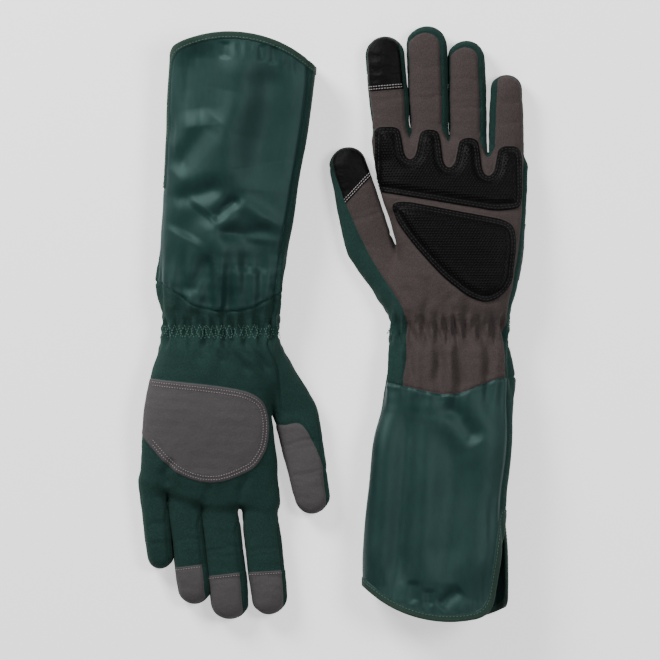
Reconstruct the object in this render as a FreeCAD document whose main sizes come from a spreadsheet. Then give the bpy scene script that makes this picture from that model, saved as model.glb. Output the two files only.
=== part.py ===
import FreeCAD, Part
import math
import os
import Sketcher
from FreeCAD import Placement, Rotation, Vector

# A pair of gardening gloves with long gauntlets, lying flat on the ground side by side.
# Each glove is modelled with its wrist at the origin, its fingers along +Y, its thumb towards -X
# and its underside on the ground.  The left glove lies palm up; the right glove lies back up and
# is then turned half round, so that its fingers point along -Y.

os.makedirs("parts", exist_ok=True)
doc = FreeCAD.newDocument("gardening_gloves")
sheet = doc.addObject("Spreadsheet::Sheet", "Sizes")
sheet.Label = "Sizes"

SIZES = {
    # fabric and trim
    "wall": 1.3, "elastic_thick": 0.9, "elastic_reach": 7.0, "patch_thick": 1.0, "pad_thick": 2.0,
    "foam_cover": 0.45, "foam_margin": 3.5, "binding_wide": 5.2, "binding_extra": 0.5,
    # knuckle and wrist joints: a rounded end turning in a hollow end
    "digit_tall": 17.4, "digit_round": 7.6, "knuckle_radius": 12.0, "side_gap": 1.9,
    "wrist_radius": 22.0, "wrist_drop": 20.6, "turn_gap": 0.4, "wrist_gap": 0.5,
    "seam_strip": 5.4, "slit_wide": 1.4, "thumb_gap": 1.0, "pad_level": 13.0, "patch_level": 18.0,
    # heights of the hand and of the gauntlet
    "wrist_tall": 34.5, "palm_tall": 32.0, "mid_tall": 25.0, "knuckle_tall": 16.0,
    "cuff_tall": 36.0, "cuff_mid_tall": 40.0, "cuff_end_tall": 44.0, "hem_radius": 90.0,
    # stations along the hand and the gauntlet
    "start_at": -26.0, "palm_at": 50.0, "mid_at": 100.0,
    "cuff_start_at": 5.0, "cuff_neck_at": -42.0, "cuff_mid_at": -110.0, "cuff_end_at": -214.0,
    # where the two gloves lie
    "left_place_x": 82.8, "left_place_y": -6.6, "right_place_x": -81.0, "right_place_y": -3.0,
    # left glove: reach to the thumb side and to the outer side at each station
    "left_start_in": 43.5, "left_start_out": 43.5, "left_wrist_in": 42.5, "left_wrist_out": 43.0,
    "left_palm_in": 33.5, "left_palm_out": 52.0, "left_mid_in": 49.0, "left_mid_out": 56.0,
    "left_knuckle_in": 54.3, "left_knuckle_out": 55.0, "left_knuckle_at": 151.0,
    "left_neck_in": 46.0, "left_neck_out": 45.5, "left_cuff_in": 56.5, "left_cuff_out": 41.5,
    "left_hem_in": 61.5, "left_hem_out": 41.5, "left_hem_at": -207.0, "left_hem_x": 1.0,
    "left_slit_at": -132.0, "left_under": 1.0,
    # right glove
    "right_start_in": 43.0, "right_start_out": 42.5, "right_wrist_in": 42.0, "right_wrist_out": 41.5,
    "right_palm_in": 32.5, "right_palm_out": 53.0, "right_mid_in": 40.5, "right_mid_out": 57.5,
    "right_knuckle_in": 41.5, "right_knuckle_out": 58.5, "right_knuckle_at": 143.0,
    "right_neck_in": 46.5, "right_neck_out": 43.5, "right_cuff_in": 57.0, "right_cuff_out": 39.5,
    "right_hem_in": 69.0, "right_hem_out": 35.5, "right_hem_at": -211.0, "right_hem_x": -6.0,
    "right_slit_at": -104.0, "right_under": 2.0,
}

# Each digit: centre of its root across and along, lean from straight, widths, length from its root.
DIGITS = {
    "left_index": (-41.2, 148.5, 4.8, 26.0, 26.0, 64.2),
    "left_middle": (-13.6, 146.5, 1.5, 27.0, 27.0, 73.8),
    "left_ring": (14.1, 140.5, 1.0, 26.4, 25.4, 69.0),
    "left_little": (42.2, 134.5, 0.0, 24.0, 22.4, 50.5),
    "left_thumb": (-56.5, 60.0, 14.5, 35.0, 26.0, 75.5),
    "right_index": (-28.6, 138.5, 6.4, 24.6, 24.2, 69.0),
    "right_middle": (0.6, 138.0, 6.6, 26.0, 25.6, 72.6),
    "right_ring": (26.0, 133.0, 7.0, 23.2, 22.4, 66.5),
    "right_little": (48.2, 127.5, 6.6, 18.6, 18.4, 46.5),
    "right_thumb": (-53.5, 60.0, 10.8, 33.0, 24.5, 76.0),
}
for name, values in DIGITS.items():
    for what, value in zip(("across", "along", "lean", "wide", "tip_wide", "long"), values):
        SIZES[name + "_" + what] = value

for row, (name, value) in enumerate(SIZES.items(), start=1):
    sheet.set("A%d" % row, name)
    sheet.set("B%d" % row, str(value))
    sheet.setAlias("B%d" % row, name)
doc.recompute()

FINGERS = ("index", "middle", "ring", "little")
NODES = []


def size(name):
    return float(getattr(sheet, name))


def chord():
    """From the turning line of a knuckle back to where the rounded end meets the flat of the digit."""
    return math.sqrt(size("knuckle_radius") ** 2 - (size("digit_tall") / 2) ** 2)


def plane(body, role):
    return [f for f in body.Origin.OriginFeatures if f.Role == role][0]


def bind(feature, settings):
    for where, expression in settings.items():
        feature.setExpression(where, expression)


# ---------------------------------------------------------------- primitives
def box(name, low, high):
    made = doc.addObject("Part::Box", name)
    made.Length, made.Width, made.Height = [b - a for a, b in zip(low, high)]
    made.Placement = Placement(Vector(*low), Rotation())
    return made


def bar(name, radius, start, stop, place=None):
    """A cylinder lying along the X of its place, from start to stop."""
    made = doc.addObject("Part::Cylinder", name)
    made.Radius, made.Height = radius, stop - start
    lay = Placement(Vector(start, 0, 0), Rotation(Vector(0, 1, 0), 90))
    made.Placement = (place or Placement()).multiply(lay)
    return made


def post(name, radius, x, y):
    made = doc.addObject("Part::Cylinder", name)
    made.Radius, made.Height = radius, 120
    made.Placement = Placement(Vector(x, y, -40), Rotation())
    return made


def cut(name, base, tool):
    made = doc.addObject("Part::Cut", name)
    made.Base, made.Tool = base, tool
    return made


def common(name, first, second):
    made = doc.addObject("Part::Common", name)
    made.Base, made.Tool = first, second
    return made


def fuse(name, shapes):
    if len(shapes) == 1:
        return shapes[0]
    made = doc.addObject("Part::MultiFuse", name)
    made.Shapes = shapes
    return made


def node(name, made, place):
    made.Label = name
    made.Placement = place
    NODES.append(made)


# ------------------------------------------------------------------ sketches
def close_up(sketch, count, kind="Coincident"):
    for i in range(count):
        sketch.addConstraint(Sketcher.Constraint(kind, i, 2, (i + 1) % count, 1))


def section(body, name, at, inner, outer, tall, low, grow):
    """A rounded rectangle across the glove; the names are entries of the sheet."""
    sketch = body.newObject("Sketcher::SketchObject", name)
    sketch.AttachmentSupport = [(plane(body, "XZ_Plane"), "")]
    sketch.MapMode = "FlatFace"
    half_w, half_h = (size(inner) + size(outer)) / 2, size(tall) / 2
    r = 0.46 * 2 * half_h
    corners = ((1, -1, -90), (1, 1, 0), (-1, 1, 90), (-1, -1, 180))
    ends = []
    for sx, sz, turn in corners:
        centre = Vector(sx * (half_w - r), sz * (half_h - r), 0)
        first, last = math.radians(turn), math.radians(turn + 90)
        ends.append((centre, first, last,
                     centre + Vector(r * math.cos(first), r * math.sin(first), 0),
                     centre + Vector(r * math.cos(last), r * math.sin(last), 0)))
    shapes = []
    for i, (centre, first, last, start, stop) in enumerate(ends):
        shapes.append(Part.LineSegment(ends[i - 1][4], start))
        shapes.append(Part.ArcOfCircle(Part.Circle(centre, Vector(0, 0, 1), r), first, last))
    sketch.addGeometry(shapes, False)
    close_up(sketch, 8, "Tangent")
    rule = Sketcher.Constraint
    for line in (0, 4):
        sketch.addConstraint(rule("Horizontal", line))
    for line in (2, 6):
        sketch.addConstraint(rule("Vertical", line))
    for arc in (3, 5, 7):
        sketch.addConstraint(rule("Equal", 1, arc))
    sketch.addConstraint(rule("Symmetric", 0, 1, 4, 1, -1, 1))
    for what, expression, made in (
            ("corner", "0.46 * (Sizes.%s + 2 * (%s))" % (tall, grow), rule("Radius", 1, r)),
            ("wide", "Sizes.%s + Sizes.%s + 2 * (%s)" % (inner, outer, grow),
             rule("DistanceX", 6, 1, 2, 1, 2 * half_w)),
            ("tall", "Sizes.%s + 2 * (%s)" % (tall, grow), rule("DistanceY", 0, 1, 4, 1, 2 * half_h))):
        index = sketch.addConstraint(made)
        sketch.renameConstraint(index, what)
        sketch.setExpression("Constraints." + what, expression)
    bind(sketch, {
        "AttachmentOffset.Base.x": "(Sizes.%s - Sizes.%s) / 2" % (outer, inner),
        "AttachmentOffset.Base.y": "%s + Sizes.%s / 2" % (low, tall),
        "AttachmentOffset.Base.z": "-(%s)" % at})
    return sketch


def loft(name, stations, low, grow):
    body = doc.addObject("PartDesign::Body", name)
    sections = [section(body, "%s_%d" % (name, i), at, inner, outer, tall, low, grow)
                for i, (at, inner, outer, tall) in enumerate(stations)]
    doc.recompute()
    feature = body.newObject("PartDesign::AdditiveLoft", name + "_skin")
    feature.Profile = sections[0]
    feature.Sections = sections[1:]
    body.Tip = feature
    return body


def prism(name, points, low, high):
    """A straight-sided block standing on a closed outline."""
    body = doc.addObject("PartDesign::Body", name)
    sketch = body.newObject("Sketcher::SketchObject", name + "_outline")
    sketch.AttachmentSupport = [(plane(body, "XY_Plane"), "")]
    sketch.MapMode = "FlatFace"
    sketch.AttachmentOffset = Placement(Vector(0, 0, low), Rotation())
    corners = [Vector(x, y, 0) for x, y in points]
    sketch.addGeometry([Part.LineSegment(corners[i - 1], corners[i]) for i in range(len(corners))], False)
    close_up(sketch, len(corners))
    doc.recompute()
    pad = body.newObject("PartDesign::Pad", name + "_pad")
    pad.Profile = sketch
    pad.Length = high - low
    body.Tip = pad
    return body


def tube(name, wide, tip_wide, long, back, grow):
    """One digit: a tapering strip with a round tip, padded both ways and rounded off."""
    body = doc.addObject("PartDesign::Body", name)
    sketch = body.newObject("Sketcher::SketchObject", name + "_outline")
    sketch.AttachmentSupport = [(plane(body, "XY_Plane"), "")]
    sketch.MapMode = "FlatFace"
    w, r = size(wide) / 2, size(tip_wide) / 2
    top = size(long) - chord() - r
    sketch.addGeometry([
        Part.LineSegment(Vector(-w, -back, 0), Vector(w, -back, 0)),
        Part.LineSegment(Vector(w, -back, 0), Vector(r, top, 0)),
        Part.ArcOfCircle(Part.Circle(Vector(0, top, 0), Vector(0, 0, 1), r), 0, math.pi),
        Part.LineSegment(Vector(-r, top, 0), Vector(-w, -back, 0))], False)
    rule = Sketcher.Constraint
    sketch.addConstraint([
        rule("Coincident", 0, 2, 1, 1), rule("Coincident", 3, 2, 0, 1), rule("Tangent", 1, 2, 2, 1),
        rule("Tangent", 2, 2, 3, 1), rule("PointOnObject", 2, 3, -2),
        rule("Symmetric", 0, 1, 0, 2, -2), rule("DistanceY", 0, 2, -1, 1, back)])
    chord_rule = "sqrt(Sizes.knuckle_radius ^ 2 - (Sizes.digit_tall / 2) ^ 2)"
    for what, expression, made in (
            ("wide", "Sizes.%s + 2 * (%s)" % (wide, grow), rule("DistanceX", 0, 1, 0, 2, 2 * w)),
            ("tip", "Sizes.%s / 2 + (%s)" % (tip_wide, grow), rule("Radius", 2, r)),
            ("reach", "Sizes.%s - %s - Sizes.%s / 2" % (long, chord_rule, tip_wide),
             rule("DistanceY", -1, 1, 2, 3, top))):
        index = sketch.addConstraint(made)
        sketch.renameConstraint(index, what)
        sketch.setExpression("Constraints." + what, expression)
    doc.recompute()
    pad = body.newObject("PartDesign::Pad", name + "_pad")
    pad.Profile = sketch
    pad.setExpression("Length", "Sizes.digit_tall + 2 * (%s)" % grow)
    if "SideType" in pad.PropertiesList:
        pad.SideType = "Symmetric"
    else:
        pad.Midplane = True
    doc.recompute()
    rims = ["Edge%d" % (i + 1) for i, edge in enumerate(pad.Shape.Edges)
            if edge.BoundBox.ZLength < 1e-6 and edge.BoundBox.YMax > 1 - back]
    rounded = body.newObject("PartDesign::Fillet", name + "_round")
    rounded.Base = (pad, rims)
    rounded.setExpression("Radius", "Sizes.digit_round + (%s)" % grow)
    body.Tip = rounded
    return body


# ------------------------------------------------------------------ the gloves
def digit_place(name):
    """The knuckle of a digit: its origin on the turning line, +Y along the digit."""
    lean = Rotation(Vector(0, 0, 1), size(name + "_lean"))
    root = Vector(size(name + "_across"), size(name + "_along"), size("digit_tall") / 2)
    return Placement(root + lean.multVec(Vector(0, chord(), 0)), lean)


def digit(side, finger, palm_up, place):
    """Palm side, back, side strip and tip patches of one digit, all in the frame of its knuckle."""
    name = side + "_" + finger
    names = [name + end for end in ("_wide", "_tip_wide", "_long")]
    half, gap, far = size("digit_tall") / 2, size("turn_gap"), 120.0
    outer = tube(name + "_outer", *names, 16.0, "0")
    inner = tube(name + "_inner", *names, 17.0, "-Sizes.wall")
    shell = cut(name + "_shell", outer, inner)
    keep = fuse(name + "_keep", [box(name + "_ahead", (-40, 0, -30), (40, far, 30)),
                                 bar(name + "_barrel", size("knuckle_radius") - gap, -40, 40)])
    shell = common(name + "_glove", shell, keep)
    strip = size("seam_strip") / 2
    at = place.multiply(digit_place(name))
    long = size(name + "_long")
    palm = (strip, 30) if palm_up else (-30, -strip)
    back = (-30, -strip) if palm_up else (strip, 30)

    def piece(label, levels, start, stop):
        slab = box(label + "_slab", (-40, start, levels[0]), (40, stop, levels[1]))
        node(label, common(label + "_part", shell, slab), at)

    touch = {"index": long - 47.0, "thumb": long - 50.0}.get(finger)
    caps = {"index": long - 30.0, "middle": long - 32.0, "ring": long - 30.0}.get(finger)
    end = far if touch is None else touch
    piece(name + "_front", palm, -20, end)
    if touch is not None:
        piece(name + "_touch_tip", palm, end, far)
    end = far if caps is None else caps
    low_back = back
    if finger == "thumb":
        low_back = (-30, strip) if palm_up else (-strip, 30)
    piece(name + "_back", low_back, -20, end)
    if caps is not None:
        piece(name + "_tip_cap", back, end, far)
    if finger != "thumb":
        piece(name + "_fourchette", (-strip, strip), -20, far)


def glove(side, palm_up, place):
    s = lambda what: size(side + "_" + what)
    alias = lambda what: side + "_" + what
    low = "Sizes." + alias("under")
    hand_stations = [
        ("Sizes.start_at", alias("start_in"), alias("start_out"), "wrist_tall"),
        ("0", alias("wrist_in"), alias("wrist_out"), "wrist_tall"),
        ("Sizes.palm_at", alias("palm_in"), alias("palm_out"), "palm_tall"),
        ("Sizes.mid_at", alias("mid_in"), alias("mid_out"), "mid_tall"),
        ("Sizes." + alias("knuckle_at"), alias("knuckle_in"), alias("knuckle_out"), "knuckle_tall")]
    cuff_stations = [
        ("Sizes.cuff_start_at", alias("start_in"), alias("start_out"), "cuff_tall"),
        ("Sizes.cuff_neck_at", alias("neck_in"), alias("neck_out"), "cuff_tall"),
        ("Sizes.cuff_mid_at", alias("cuff_in"), alias("cuff_out"), "cuff_mid_tall"),
        ("Sizes.cuff_end_at", alias("hem_in"), alias("hem_out"), "cuff_end_tall")]

    skin = loft(side + "_hand_outer", hand_stations, low, "0")
    lining = loft(side + "_hand_inner", hand_stations, low, "-Sizes.wall")
    band = loft(side + "_band_inner", hand_stations, low, "-Sizes.wall - Sizes.elastic_thick")
    raised = loft(side + "_pad_outer", hand_stations, low, "Sizes.pad_thick")
    foam_top = loft(side + "_foam_outer", hand_stations, low, "Sizes.pad_thick - Sizes.foam_cover")
    foam_low = loft(side + "_foam_inner", hand_stations, low, "Sizes.foam_cover")
    patched = loft(side + "_patch_outer", hand_stations, low, "Sizes.patch_thick")

    # room for the digits to turn, for the gauntlet to turn, and the slits between the fingers
    room = []
    for finger in FINGERS + ("thumb",):
        name = side + "_" + finger
        at = digit_place(name)
        reach = size(name + "_wide") / 2 + size("thumb_gap" if finger == "thumb" else "side_gap")
        start = -reach - (12 if finger in ("index", "thumb") else 0)
        stop = reach + (12 if finger == "little" else 0)
        ahead = box(name + "_room", (start, 0, -40), (stop, 120, 60))
        ahead.Placement = at.multiply(ahead.Placement)
        room += [ahead, bar(name + "_hollow", size("knuckle_radius"), start, stop, at)]
        if palm_up:
            # where the palm stands higher than the digit, its edge is trimmed for the bent digit
            half = size("digit_tall") / 2
            over = box(name + "_over", (start, -chord() - 1.0, half - 0.3), (stop, 0, 60))
            over.Placement = at.multiply(over.Placement)
            room.append(over)
    for first, second in zip(FINGERS, FINGERS[1:]):
        one, two = side + "_" + first, side + "_" + second
        edge = ((size(one + "_across") + size(one + "_wide") / 2)
                + (size(two + "_across") - size(two + "_wide") / 2)) / 2
        root = min(size(one + "_along"), size(two + "_along"))
        half = size("slit_wide") / 2
        room.append(box(one + "_slit", (edge - half, root - 8, -10), (edge + half, root + 12, 60)))
    wrist = Placement(Vector(0, -size("wrist_drop"), size("cuff_tall") / 2), Rotation())
    room += [bar(side + "_wrist_hollow", size("wrist_radius"), -80, 80, wrist),
             box(side + "_behind", (-90, -80, -10), (90, -size("wrist_drop"), 60))]
    room = fuse(side + "_room", room)

    # thumb root: a tube beside the palm that opens into it
    thumb = side + "_thumb"
    at = digit_place(thumb)
    half = size(thumb + "_wide") / 2
    tall = size("digit_tall")

    def root_block(name, grow):
        left = -half - grow
        points = [(left, 3), (half + grow, 3), (half + 9 + grow, -24), (half + 12 + grow, -58),
                  (left + 27, -64 - grow), (left + 18.5, -54), (left + 12.5, -38), (left + 5.5, -21),
                  (left, -6)]
        made = prism(name, points, -tall / 2 - grow, tall / 2 + grow)
        doc.recompute()
        pad = made.Tip
        rims = ["Edge%d" % (i + 1) for i, edge in enumerate(pad.Shape.Edges)
                if edge.BoundBox.ZLength < 1e-6 and edge.BoundBox.YMin < 0]
        rounded = made.newObject("PartDesign::Fillet", name + "_round")
        rounded.Base = (pad, rims)
        rounded.Radius = size("digit_round") + grow - 0.6
        made.Tip = rounded
        made.Placement = at
        return made

    root_outer = root_block(side + "_root_outer", 0.0)
    root_inner = root_block(side + "_root_inner", -size("wall"))
    gusset = cut(side + "_root_skin", root_outer, root_inner)
    gusset = cut(side + "_root_beside", gusset, skin)
    gusset = cut(side + "_root_open", gusset, room)
    node(side + "_thumb_gusset", gusset, place)

    # hand panels
    shell = cut(side + "_hand_shell", skin, lining)
    shell = cut(side + "_hand_open", shell, fuse(side + "_hand_room", [room, root_inner]))
    # side seams of the hand: the palm panel is on the upper or the lower half
    seam = size("digit_tall") / 2
    upper = box(side + "_upper", (-100, -60, seam), (100, 200, 70))
    lower = box(side + "_lower", (-100, -60, -20), (100, 200, seam))
    over, under = ("palm_panel", "back_panel") if palm_up else ("back_panel", "palm_panel")
    node(side + "_" + over, common(side + "_upper_shell", shell, upper), place)
    node(side + "_" + under, common(side + "_lower_shell", shell, lower), place)

    # elastic band inside the wrist
    reach = size("elastic_reach")
    ring = cut(side + "_band_ring", lining, band)
    ring = common(side + "_band_cut", ring,
                  box(side + "_band_slab", (-90, -reach, -10), (90, reach, 60)))
    node(side + "_wrist_elastic", cut(side + "_band_clear", ring, room), place)

    # pads on the palm and the patch on the back
    below = (-20, seam)
    palm_levels = (size("pad_level"), 60) if palm_up else below
    back_levels = below if palm_up else (size("patch_level"), 60)
    sheet_over = cut(side + "_pad_layer", raised, skin)
    foam_layer = cut(side + "_foam_layer", foam_top, foam_low)
    margin = size("foam_margin")

    def knuckle_outline(inset):
        points = []
        for finger in FINGERS:
            x = size(side + "_" + finger + "_across")
            top = size(side + "_" + finger + "_along") - 1.6 - inset
            w = size(side + "_" + finger + "_wide") / 2 - 1.6 - inset
            points += [(x - w, top - 14), (x - 0.85 * w, top - 4), (x - 0.35 * w, top),
                       (x + 0.35 * w, top), (x + 0.85 * w, top - 4), (x + w, top - 14)]
        points = points[1:-1]
        first, last = points[0][0], points[-1][0]
        low_in = size(side + "_index_along") - 46.5 + inset
        low_out = size(side + "_little_along") - 45.5 + inset
        return [(first, low_in)] + points + [(last, low_out), (last - 18, low_out - 2.0)]

    def heel_outline(inset):
        points = [(-42, 92), (-33, 94.3), (44, 80), (49, 69), (45.7, 32.4), (30.6, 20.2),
                  (15.5, 23.8), (-4.7, 39.6), (-24.8, 61.9), (-38, 80)]
        if side == "right":
            points = [(x + 3, y - 8) for x, y in points]
        cx = sum(p[0] for p in points) / len(points)
        cy = sum(p[1] for p in points) / len(points)
        pull = 1 - inset / 30.0
        return [(cx + (x - cx) * pull, cy + (y - cy) * pull) for x, y in points]

    foams = []
    for pad_name, outline in (("knuckle_pad", knuckle_outline), ("heel_pad", heel_outline)):
        label = side + "_" + pad_name
        whole = common(label + "_block", sheet_over, prism(label + "_area", outline(0), *palm_levels))
        core = common(label + "_core", foam_layer,
                      prism(label + "_core_area", outline(margin), *palm_levels))
        core = cut(label + "_core_open", core, room)
        foams.append(core)
        whole = cut(label + "_hollowed", whole, core)
        node(label, cut(label + "_open", whole, room), place)
    node(side + "_pad_foam", fuse(side + "_foam_pair", foams), place)

    patch = [(49.7, 37.4), (-13, 43.9), (-32, 59.8), (-32, 84.2), (-21.6, 103.7), (4.3, 113.0),
             (31, 107.3), (49.7, 87.8), (53, 74.2), (52, 49.7)]
    patch_layer = cut(side + "_patch_layer", patched, skin)
    node(side + "_back_patch",
         common(side + "_patch_block", patch_layer, prism(side + "_patch_area", patch, *back_levels)),
         place)

    for finger in FINGERS + ("thumb",):
        digit(side, finger, palm_up, place)

    # gauntlet
    outer = loft(side + "_cuff_outer", cuff_stations, "0", "0")
    inner = loft(side + "_cuff_inner", cuff_stations, "0", "-Sizes.wall")
    outer_trim = loft(side + "_trim_outer", cuff_stations, "Sizes.binding_extra",
                      "Sizes.binding_extra - 0.5")
    hem, hem_x, radius = s("hem_at"), s("hem_x"), size("hem_radius")
    edge = size("binding_wide")
    shell = cut(side + "_cuff_shell", outer, inner)
    front = box(side + "_cuff_front", (-100, hem + radius, -10), (100, -size("wrist_drop"), 60))
    barrel = bar(side + "_wrist_barrel", size("wrist_radius") - size("wrist_gap"), -80, 80, wrist)
    keep = fuse(side + "_cuff_keep",
                [front, barrel, post(side + "_hem_inner", radius - edge, hem_x, hem + radius)])
    slit_top = s("slit_at")
    mid = size("cuff_tall") / 2 + 2
    slit_low_x = hem_x + 24
    slit_high_x = s("cuff_out") - 3
    wedge = [(slit_low_x, hem - 8), (slit_low_x, hem + 6), (slit_high_x, slit_top), (90, slit_top),
             (90, hem - 8)]
    wide_wedge = [(slit_low_x - edge, hem - 8), (slit_low_x - edge, hem + 6),
                  (slit_high_x - edge, slit_top + edge), (90, slit_top + edge), (90, hem - 8)]
    palm_cuff = (mid, 70) if palm_up else (-20, mid)
    back_cuff = (-20, mid) if palm_up else (mid, 70)
    opening = prism(side + "_slit_area", wedge, *palm_cuff)
    wide_opening = prism(side + "_slit_edge_area", wide_wedge, *palm_cuff)
    shell = common(side + "_cuff_body", shell, keep)
    palm_box = box(side + "_cuff_palm_half", (-100, -260, palm_cuff[0]), (100, 60, palm_cuff[1]))
    back_box = box(side + "_cuff_back_half", (-100, -260, back_cuff[0]), (100, 60, back_cuff[1]))
    palm_half = common(side + "_cuff_palm_shell", shell, palm_box)
    node(side + "_gauntlet_palm", cut(side + "_cuff_palm_cut", palm_half, wide_opening), place)
    node(side + "_gauntlet_back", common(side + "_cuff_back_shell", shell, back_box), place)

    # binding along the hem and up the slit
    trim_shell = cut(side + "_trim_shell", outer, inner)
    ring = cut(side + "_trim_ring", post(side + "_hem_outer", radius, hem_x, hem + radius),
               fuse(side + "_trim_core", [post(side + "_hem_core", radius - edge, hem_x, hem + radius),
                                          box(side + "_trim_off", (-100, hem + radius, -50),
                                              (100, 60, 90))]))
    hem_part = cut(side + "_hem_part", common(side + "_hem_all", trim_shell, ring), opening)
    slit_band = cut(side + "_slit_band", wide_opening, opening)
    slit_band = common(side + "_slit_band_in", slit_band,
                       post(side + "_slit_reach", radius - edge, hem_x, hem + radius))
    slit_part = common(side + "_slit_part", trim_shell, slit_band)
    node(side + "_hem_binding", fuse(side + "_binding", [hem_part, slit_part]), place)


def floor_place(side, turn):
    return Placement(Vector(size(side + "_place_x"), size(side + "_place_y"), 0),
                     Rotation(Vector(0, 0, 1), turn))


glove("left", True, floor_place("left", 0))
glove("right", False, floor_place("right", 180))
doc.recompute()

for thing in doc.Objects:
    bad = [state for state in thing.State if state in ("Invalid", "Error")]
    if bad:
        raise RuntimeError("%s: %s" % (thing.Label, bad))
for made in NODES:
    shape = made.Shape
    if shape.isNull() or not shape.isValid() or not shape.Solids:
        raise RuntimeError("%s has no good solid" % made.Label)
    shape.exportStep("parts/%s.step" % made.Label)
    print(made.Label, len(shape.Solids), round(shape.Volume), shape.BoundBox)
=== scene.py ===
import math

import bpy
import numpy as np
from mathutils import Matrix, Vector


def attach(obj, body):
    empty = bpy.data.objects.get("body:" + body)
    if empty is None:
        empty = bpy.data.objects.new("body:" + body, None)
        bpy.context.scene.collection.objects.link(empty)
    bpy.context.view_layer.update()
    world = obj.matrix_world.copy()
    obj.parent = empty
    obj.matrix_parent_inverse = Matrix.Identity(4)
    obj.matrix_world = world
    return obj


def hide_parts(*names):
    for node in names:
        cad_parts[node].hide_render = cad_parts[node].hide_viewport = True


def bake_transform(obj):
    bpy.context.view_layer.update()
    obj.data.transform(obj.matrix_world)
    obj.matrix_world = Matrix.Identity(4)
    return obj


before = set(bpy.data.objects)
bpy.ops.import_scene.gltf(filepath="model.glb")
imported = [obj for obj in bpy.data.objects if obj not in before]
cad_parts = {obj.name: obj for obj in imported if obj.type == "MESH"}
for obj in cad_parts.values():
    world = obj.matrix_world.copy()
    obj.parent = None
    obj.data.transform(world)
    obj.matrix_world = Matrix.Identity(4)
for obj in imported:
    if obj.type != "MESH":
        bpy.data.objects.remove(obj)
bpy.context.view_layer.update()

# All shapes are worked out in millimetres in a glove's own frame: wrist at the origin, fingers
# along +Y, thumb towards -X, underside on the ground at z = 0.  place() puts them in the CAD frame.
STEP = 1.0  # pitch of the lattice that all meshes share
KNUCKLE_Z = 8.7  # height of a digit's axis

# up is 1 where the palm faces up, and -1 where the back does.  At each y, inner and outer are the
# distances from the centre line to the thumb's and the little finger's edge, and tall is the height.
# ends: where the palm gives way to the fingers.  hem: y and x of its lowest point.  slit: y of its top,
# then x of its edge near the hem and at the top.  digits: x and y of the root's middle, lean in
# degrees, width at the root and near the tip, length.
GLOVES = {
    "left": {
        "up": 1, "place": (82.8, -6.6),
        "y": (-235, -200, -160, -121, -85, -42, -22, 0, 23, 50, 80, 100, 125, 150),
        "inner": (61.5, 61.5, 61.3, 58.0, 53.0, 46.0, 44.0, 42.5, 38.5, 36.0, 42.0, 49.0, 53.5, 54.6),
        "outer": (41.5, 42.0, 41.5, 39.5, 43.5, 46.0, 44.5, 43.0, 47.0, 52.2, 55.0, 56.3, 57.0, 55.5),
        "tall": (44, 43, 41.5, 39.5, 38, 35.5, 32.5, 29, 32, 32, 29.5, 26, 21, 18),
        "ends": ((-60, 141), (-41, 141), (-27.6, 139), (-13, 140), (0.4, 137), (14, 133), (28, 126.5),
                 (42, 124), (60, 124)),
        "hem": (-207.0, 1.0), "slit": (-132.0, 31.0, 38.9),
        "digits": {
            "index": (-41.3, 148.5, 4.8, 26.6, 27.0, 64.2), "middle": (-13.7, 146.5, 1.5, 27.6, 28.2, 73.8),
            "ring": (14.1, 140.5, 1.0, 27.0, 26.0, 69.0), "little": (41.9, 134.5, 0.0, 25.2, 22.6, 50.8),
            "thumb": (-56.5, 60.0, 14.5, 34.6, 26.6, 75.2)},
    },
    "right": {
        "up": -1, "place": (-81.0, -3.0),
        "y": (-235, -200, -163, -130, -99, -60, -27, 0, 23, 50, 80, 100, 125, 150),
        "inner": (70.0, 68.8, 65.8, 61.0, 55.0, 48.5, 44.5, 42.0, 38.0, 35.5, 38.5, 40.5, 42.0, 42.0),
        "outer": (35.5, 36.0, 38.0, 39.5, 40.5, 43.0, 44.5, 42.0, 47.0, 53.2, 56.6, 57.7, 57.8, 57.0),
        "tall": (44, 43, 41.5, 40, 38.5, 36.5, 33, 29, 32, 32, 29.5, 26, 21, 18),
        "ends": ((-60, 131), (-28, 131), (-12.5, 129.5), (1, 131), (15, 128.5), (27, 125), (38.5, 119.5),
                 (48, 118), (62, 118)),
        "hem": (-211.0, -6.0), "slit": (-104.0, 18.0, 36.5),
        "digits": {
            "index": (-28.6, 138.5, 6.4, 25.6, 24.8, 69.0), "middle": (0.6, 138.0, 6.6, 27.2, 26.8, 72.8),
            "ring": (26.0, 133.0, 7.0, 23.6, 23.4, 66.8), "little": (48.2, 127.5, 6.6, 18.9, 19.0, 46.8),
            "thumb": (-53.5, 60.0, 10.8, 32.6, 25.2, 76.0)},
    },
}
FINGERS = ("index", "middle", "ring", "little")
WRIST_CUT = 15.0  # y at which the hand ends and the cuff begins
BINDING = 4.0
CLOTH = 0.9


# ---- small maths
def smooth_curve(x, xs, ys):
    """A cubic through the stations (xs, ys), with tangents from their neighbours."""
    xs, ys = np.asarray(xs, float), np.asarray(ys, float)
    m = np.gradient(ys, xs)
    i = np.clip(np.searchsorted(xs, x) - 1, 0, len(xs) - 2)
    w = xs[i + 1] - xs[i]
    t = np.clip((x - xs[i]) / w, 0, 1)
    return ((2 * t**3 - 3 * t**2 + 1) * ys[i] + (t**3 - 2 * t**2 + t) * w * m[i]
            + (3 * t**2 - 2 * t**3) * ys[i + 1] + (t**3 - t**2) * w * m[i + 1])


def step01(x, low, high):
    t = np.clip((x - low) / (high - low), 0, 1)
    return t * t * (3 - 2 * t)


def smin(a, b, k):
    k = np.maximum(k, 1e-4)
    h = np.clip(0.5 + 0.5 * (b - a) / k, 0, 1)
    return b + (a - b) * h - k * h * (1 - h)


def smax(a, b, k):
    return -smin(-a, -b, k)


def bell(d, w):
    return np.exp(-(d / w) ** 2)


def unit(v):
    return v / np.maximum(np.linalg.norm(v, axis=-1, keepdims=True), 1e-9)


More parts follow.
